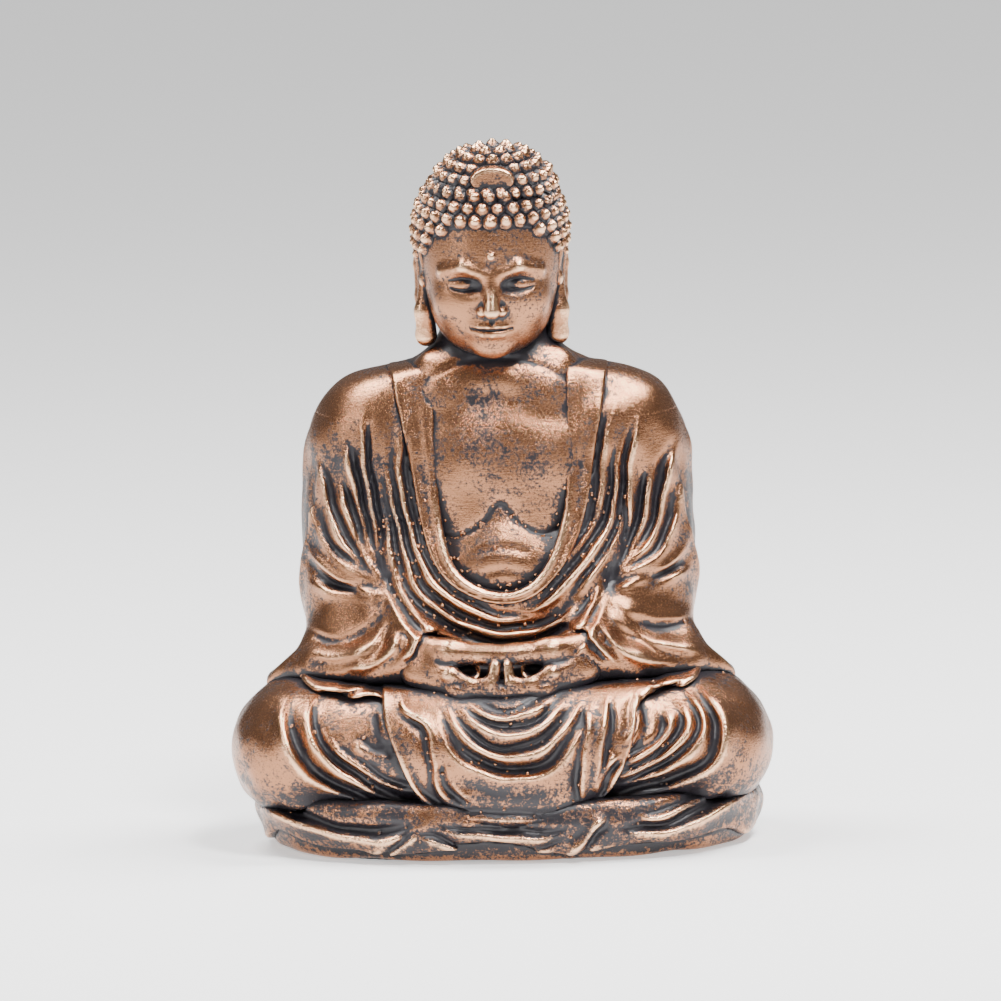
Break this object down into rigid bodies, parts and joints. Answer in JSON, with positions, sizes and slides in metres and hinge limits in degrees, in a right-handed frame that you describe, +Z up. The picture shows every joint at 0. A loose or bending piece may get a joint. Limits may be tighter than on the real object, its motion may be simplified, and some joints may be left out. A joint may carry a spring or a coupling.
{
  "type": "seated buddha figurine",
  "caption": "Small seated meditation figurine in a draped robe, with snail curls and joined hands, cast in resin with an aged copper finish, on a low plinth.",
  "frame": {"origin": "centre of the underside, on the felt pad's face", "axes": "+Z up through the crown, +Y towards the figure's back, so the figure faces -Y; +X is the figure's left"},
  "size_m": [0.0598, 0.041, 0.0779],
  "materials": {
    "copper_paint": "satin copper-bronze paint on cast resin, rubbed over a black wash that stays in the creases",
    "aged_copper_paint": "the same copper-bronze paint, more heavily mottled with dark patina",
    "black_felt": "matt black felt"
  },
  "bodies": {
    "root": {"felt_pad": "black_felt", "plinth": "copper_paint", "seat_cloth": "copper_paint", "right_knee": "copper_paint", "left_knee": "copper_paint", "lap_apron": "copper_paint", "torso": "copper_paint", "robe": "aged_copper_paint", "right_lapel": "copper_paint", "left_lapel": "copper_paint", "right_sleeve": "aged_copper_paint", "left_sleeve": "aged_copper_paint", "right_cuff": "copper_paint", "left_cuff": "copper_paint", "right_hand": "copper_paint", "left_hand": "copper_paint", "head": "copper_paint", "right_ear": "copper_paint", "left_ear": "copper_paint", "hair_cap": "aged_copper_paint", "crown_mound": "aged_copper_paint", "crown_jewel": "copper_paint", "hair_curls": "aged_copper_paint"}
  },
  "joints": []
}
